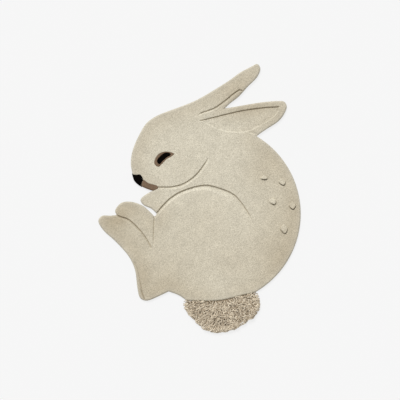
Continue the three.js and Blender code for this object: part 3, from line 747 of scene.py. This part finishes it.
black_pile = shorn_wool(
    "black cut wool", (0.0048, 0.0036, 0.003), (0.002, 0.0015, 0.0012), 0.7, 380.0, sheen=0.0, gloss=0.02
)
taupe_pile = shorn_wool("taupe cut wool", (0.26, 0.178, 0.117), (0.175, 0.113, 0.072), 0.8, 380.0, sheen=0.1)
nose = tufted("black_nose", "nose_pile", black_pile, flare=NOSE_FLARE)
muzzle = tufted("taupe_muzzle", "muzzle_pile", taupe_pile, flare=MUZZLE_FLARE)
eye_rim = tufted("taupe_eye_rim", "eye_rim_pile", taupe_pile, inward=EYE_CLOSED, hole_wider=BLACK_SPREAD)
pupil = tufted("black_pupil", "eye_pupil_pile", black_pile, inward=-BLACK_SPREAD)

# The puffs on the back
# Five tongues of longer cream pile. Each grows out of the rug at its upper end, and its lower edge is
# clipped free, so that it stands proud with a shadow under it.
PUFF_PITCH, PUFF_UNEVEN, PUFF_CLIPPED = 0.0018, 0.0008, 0.0032
PUFF_LESS_PAINTED_SHADE = 0.06  # a puff's longer pile gets this much less painted shade than the rug's
for node in PUFF_NODES:
    puff = tufted(
        node.replace("back", "raised"), node, cream_pile, level=eased(levels([node])),
        pitch=PUFF_PITCH, uneven=PUFF_UNEVEN, clipped=PUFF_CLIPPED,
    )
    places = np.array([v.co.xy[:] for v in puff.data.vertices])
    # painted shade on the puff, a little less than on the rug round it
    marked(puff, "painted_shade", painted_shade_at(places, away_from(places, rabbit_line)) - PUFF_LESS_PAINTED_SHADE)

# The tail
# A half round of long looped yarn on its own backing, butted against the rabbit's edge. The yarn is a
# loose ply of cream and light brown wool, tufted in loops that fall outwards and over the rim.
YARN_THICK, YARN_SIDES, YARN_STEPS = 0.0046, 6, 8
YARN_THICKS, YARN_TWIST = (0.8, 1.15), (0.5, 0.9)  # from thin to thick, and the twist at each step
PLY_DEPTH = 0.16  # how deep the grooves between the plies are, as a share of the yarn's radius
ROOT_TIP, FREE_TIP = 0.3, 0.45  # how far the pointed ends reach, as a share of the thickness
SHADE, SHADE_SPREAD = 0.46, 0.24  # from 0, brown, to 1, cream
BED_HEIGHT, BED_EDGE, BED_UNEVEN = 0.008, 0.005, 0.0012
BED_PITCH, BED_LONGEST = 0.004, 2.2  # no side of the bed's net is longer than so many pitches
BED_MARGIN = 0.0055  # how far the bed ends inside the loops at the tail's rim
SEAM_WIDTH, SEAM_MARGIN = 0.014, 0.0018  # along the rabbit the bed runs up to the seam
SEAM_GAP = 0.003  # the tail's line is sewn where it lies this near the rabbit's rim
SEAM_OVER, SEAM_END = 0.0006, 0.0015  # how far past that line the bed goes, and where it stops short
LOOP_PITCH, LOOP_CLEAR = 0.0058, 0.0025
LOOP_LENGTH, LOOP_LENGTHS = 0.024, (0.75, 1.25)
LOOP_FOOT, LOOP_RISE = 0.0075, (0.007, 0.0125)
LOOP_CURL, LOOP_BEND = 0.0035, 0.5
LOOP_OVERHANG = 0.002  # no loop reaches further past the tail's rounded line
LOOP_DROP = 0.009  # so far outside the line a loop lies on the floor
WIDE_SWIRL, TIGHT_SWIRL, STRAY = 0.7, 0.35, 0.35  # how the loops turn from their way outwards
OUTER_REACH, OUTER_COMBED, OUTER_PALER = 0.016, 0.75, 0.28  # at the rim they point out and are paler
TAIL_HEART = (0.095, -0.415)


def spun(name, paths, thick, shades, twist, material):
    """Plied yarns along these paths in one mesh: three soft plies that wind round each other."""
    strands, steps, _ = paths.shape
    along = np.gradient(paths, axis=1)
    along /= np.linalg.norm(along, axis=2)[..., None]
    side = np.cross(along, (0, 0, 1.0))
    side /= np.linalg.norm(side, axis=2)[..., None]
    up = np.cross(side, along)
    angle = 2 * math.pi * np.arange(YARN_SIDES) / YARN_SIDES
    turned = angle + twist[:, None, None] * np.arange(steps)[None, :, None]
    plied = (thick[..., None] / 2) * (1 + PLY_DEPTH * np.cos(3 * angle))[None, None, :]
    rings = (
        paths[:, :, None]
        + (plied * np.cos(turned))[..., None] * side[:, :, None]
        + (plied * np.sin(turned))[..., None] * up[:, :, None]
    )
    root_tips = paths[:, 0] - along[:, 0] * thick[:, :1] * ROOT_TIP
    free_tips = paths[:, -1] + along[:, -1] * thick[:, -1:] * FREE_TIP
    tips = np.stack([root_tips, free_tips], 1)
    corners = np.concatenate([rings.reshape(strands, -1, 3), tips], axis=1)
    each = steps * YARN_SIDES + 2
    faces = []
    for step in range(steps - 1):
        for k in range(YARN_SIDES):
            a, b = step * YARN_SIDES + k, step * YARN_SIDES + (k + 1) % YARN_SIDES
            faces += [(a, a + YARN_SIDES, b + YARN_SIDES), (a, b + YARN_SIDES, b)]
    last = (steps - 1) * YARN_SIDES
    for k in range(YARN_SIDES):
        a, b = k, (k + 1) % YARN_SIDES
        faces += [(each - 2, a, b), (each - 1, last + b, last + a)]
    faces = (np.array(faces)[None] + each * np.arange(strands)[:, None, None]).reshape(-1, 3)
    thing = made(name, corners.reshape(-1, 3), faces.tolist(), [material])
    marked(thing, "shade", np.repeat(shades, each))
    return thing


looped_yarn, tree, shader = fabric("looped cream and brown yarn", 0.9, 0.25, (0.8, 0.7, 0.55, 1))
place = placed_node(tree, "ShaderNodeTexCoord").outputs["Object"]
shade = placed_node(tree, "ShaderNodeAttribute", attribute_name="shade").outputs["Fac"]
fibre = flecked(tree, place, 900.0, detail=3.0, roughness=0.7).outputs["Fac"]
uneven = worked(tree, "ADD", worked(tree, "MULTIPLY", shade, 0.8), worked(tree, "MULTIPLY", fibre, 0.25))
yarn = blended(tree, "MIX", uneven, (0.25, 0.18, 0.107, 1), (0.90, 0.80, 0.635, 1))
tree.links.new(yarn, shader.inputs["Base Color"])
raised(tree, shader, fibre, 0.5, 0.0009)

bed_line = drawn_smooth(underside_lines("tail_pile")[0], BED_PITCH)
bed_tufts = tuft_grid(bed_line, BED_PITCH)
at_seam = away_from(bed_tufts, rabbit_line) < SEAM_WIDTH
bed_tufts = bed_tufts[away_from(bed_tufts, bed_line) > np.where(at_seam, SEAM_MARGIN, BED_MARGIN)]
sewn = away_from(bed_line, rabbit_line) < SEAM_GAP
seam = drawn_in(bed_line, -SEAM_OVER)[sewn]
seam = seam[np.linalg.norm(seam[:, None] - bed_line[~sewn], axis=2).min(1) > SEAM_END]
placed, faces = woven([], np.concatenate([bed_tufts, seam]))
sides_of = placed[faces] - placed[np.roll(faces, 1, axis=1)]
faces = faces[np.linalg.norm(sides_of, axis=2).max(1) < BED_LONGEST * BED_PITCH]
faces = faces[within(placed[faces].mean(1), bed_line)]
edges = border(faces)
height = BED_HEIGHT + shorn.uniform(-BED_UNEVEN, BED_UNEVEN, len(placed))
height[[a for a, _ in edges]] = BED_EDGE
corners, above, below = closed_below(placed, faces, edges, height, 0.0)
tail_bed = made("tail_bed", corners, above + below, [looped_yarn, canvas])
backed_from(tail_bed, len(above))
# Painted shade: the whole bed between the loops takes the darkest brown of the yarn.
marked(tail_bed, "shade", np.zeros(len(corners)))

roots = tuft_grid(bed_line, LOOP_PITCH)
roots = roots[away_from(roots, bed_line) > LOOP_CLEAR]
strands = len(roots)
outward = np.arctan2(roots[:, 1] - TAIL_HEART[1], roots[:, 0] - TAIL_HEART[0])
swirl = WIDE_SWIRL * np.sin(roots[:, 0] * 55 + 1.3) * np.cos(roots[:, 1] * 47)
swirl += TIGHT_SWIRL * np.sin(roots.sum(1) * 130)
outer = np.exp(-away_from(roots, bed_line) / OUTER_REACH)
outer *= away_from(roots, rabbit_line) > SEAM_WIDTH
heading = outward + (swirl + shorn.normal(0, STRAY, strands)) * (1 - OUTER_COMBED * outer)
length = LOOP_LENGTH * shorn.uniform(*LOOP_LENGTHS, strands)
curl = shorn.normal(0, LOOP_CURL, strands)
phase = shorn.uniform(0, 2 * math.pi, strands)
step = np.linspace(0, 1, YARN_STEPS)
bend = heading[:, None] + shorn.normal(0, LOOP_BEND, strands)[:, None] * step
run = length[:, None] * step
sway = curl[:, None] * np.sin(2 * math.pi * step * 0.9 + phase[:, None]) - (curl * np.sin(phase))[:, None]
x = roots[:, :1] + run * np.cos(bend) - sway * np.sin(bend)
y = roots[:, 1:] + run * np.sin(bend) + sway * np.cos(bend)
rise = shorn.uniform(*LOOP_RISE, strands)[:, None]
tops = LOOP_FOOT + rise * np.sin(math.pi * step**0.8)
flat = np.column_stack([x.ravel(), y.ravel()])
round_line = np.mean([np.roll(bed_line, k, axis=0) for k in range(-3, 4)], axis=0)
beyond = away_from(flat, round_line) * np.where(within(flat, round_line), -1, 1)
away = np.maximum(beyond.reshape(x.shape).max(1) - LOOP_OVERHANG, 0)
x -= (away * np.cos(outward))[:, None]
y -= (away * np.sin(outward))[:, None]
flat = np.column_stack([x.ravel(), y.ravel()])
off = np.where(within(flat, bed_line), 0, away_from(flat, bed_line)).reshape(x.shape)
tops = tops - (tops - YARN_THICK / 2) * np.clip(off / LOOP_DROP, 0, 1)
fullness = 0.62 + 0.5 * np.sin(math.pi * np.clip(step, 0.06, 0.94)) ** 0.6  # thinner at a loop's two ends
thick = YARN_THICK * fullness * shorn.uniform(*YARN_THICKS, strands)[:, None]
paths = np.stack([x, y, np.maximum(tops, thick * 0.6)], axis=2)
shades = np.clip(shorn.normal(SHADE, SHADE_SPREAD, strands) + OUTER_PALER * outer, 0.03, 1)
twist = shorn.uniform(*YARN_TWIST, strands)
tail_loops = spun("tail_loops", paths, thick, shades, twist, looped_yarn)
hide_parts("tail_pile")

# The room
# A plain pale light table, lit from below as well, under a soft light from beyond the ears.
FLOOR_REACH, FLOOR_GLOW = 30, 0.77
ROOM_LIGHT = 0.533
KEY_STRENGTH, KEY_WIDTH, KEY_FROM = 2.2, math.radians(24), Vector((-0.4, 1.0, 1.1))
FRAME_WIDTH = 1.782  # metres of floor across the picture
FRAME_MIDDLE = (0.0022, -0.0053)
floor_mesh = bpy.data.meshes.new("pale floor")
corners = [(x * FLOOR_REACH, y * FLOOR_REACH, 0) for x, y in ((-1, -1), (1, -1), (1, 1), (-1, 1))]
floor_mesh.from_pydata(corners, [], [(0, 1, 2, 3)])
floor = bpy.data.objects.new("pale_floor", floor_mesh)
bpy.context.scene.collection.objects.link(floor)
paint, tree, shader = fabric("pale floor paint", 0.9, 0.0, (1, 1, 1, 1))
shader.inputs["Specular IOR Level"].default_value = 0.0
grain = flecked(tree, placed_node(tree, "ShaderNodeTexCoord").outputs["Object"], 3.0)
tone = blended(tree, "MIX", grain.outputs["Fac"], (0.149, 0.149, 0.149, 1), (0.151, 0.151, 0.151, 1))
tree.links.new(tone, shader.inputs["Base Color"])
shader.inputs["Emission Color"].default_value = (1, 1, 1, 1)
shader.inputs["Emission Strength"].default_value = FLOOR_GLOW
floor_mesh.materials.append(paint)

world = bpy.data.worlds.new("studio")
world.use_nodes = True
light = world.node_tree.nodes["Background"].inputs
light["Color"].default_value = (1, 1, 1, 1)
light["Strength"].default_value = ROOM_LIGHT
bpy.context.scene.world = world
lamp = bpy.data.lights.new("soft key", "SUN")
lamp.energy, lamp.angle = KEY_STRENGTH, KEY_WIDTH
key = bpy.data.objects.new("soft key", lamp)
key.rotation_euler = KEY_FROM.to_track_quat("Z", "Y").to_euler()
bpy.context.scene.collection.objects.link(key)

lens = bpy.data.cameras.new("overhead camera")
lens.lens, lens.sensor_width = 100, 36
camera = bpy.data.objects.new("overhead camera", lens)
camera.location = (*FRAME_MIDDLE, 0.012 + FRAME_WIDTH * lens.lens / lens.sensor_width)
bpy.context.scene.collection.objects.link(camera)
bpy.context.scene.camera = camera
bpy.context.scene.view_settings.view_transform = "Standard"
